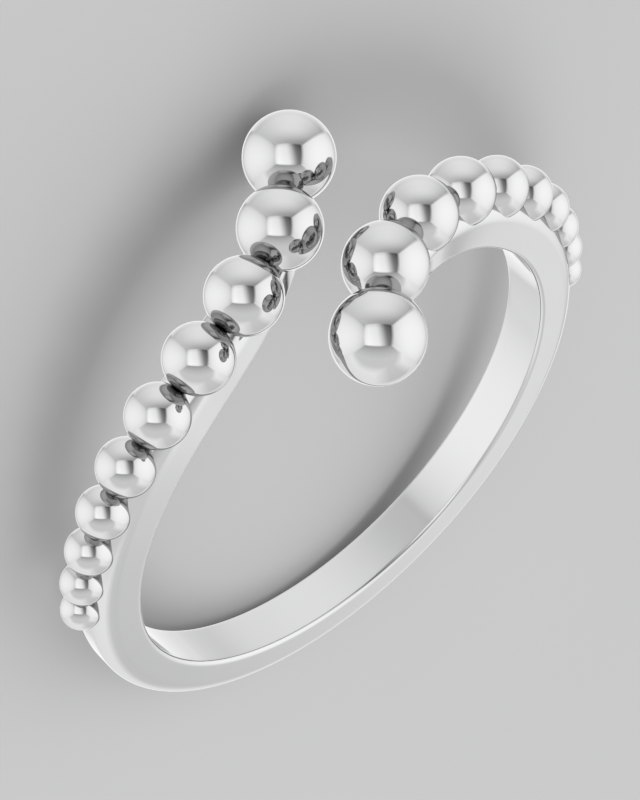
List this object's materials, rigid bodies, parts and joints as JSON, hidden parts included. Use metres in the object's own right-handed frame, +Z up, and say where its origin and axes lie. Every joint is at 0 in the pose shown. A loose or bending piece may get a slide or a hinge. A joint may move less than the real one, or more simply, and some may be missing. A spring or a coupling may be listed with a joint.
{
  "type": "bypass ring",
  "caption": "Open finger ring whose two ends sweep past each other, each half carrying a row of touching round beads that grow toward its tip.",
  "frame": {"origin": "middle of the lying ring's outline, on the surface that it lies on", "axes": "+Z up from the surface, -Y toward the opening where the two ends pass each other, +X along the half whose end bead touches the surface"},
  "size_m": [0.022, 0.0224, 0.0096],
  "materials": {
    "polished_silver": "polished"
  },
  "bodies": {
    "root": {"ring": "polished_silver"}
  },
  "joints": []
}
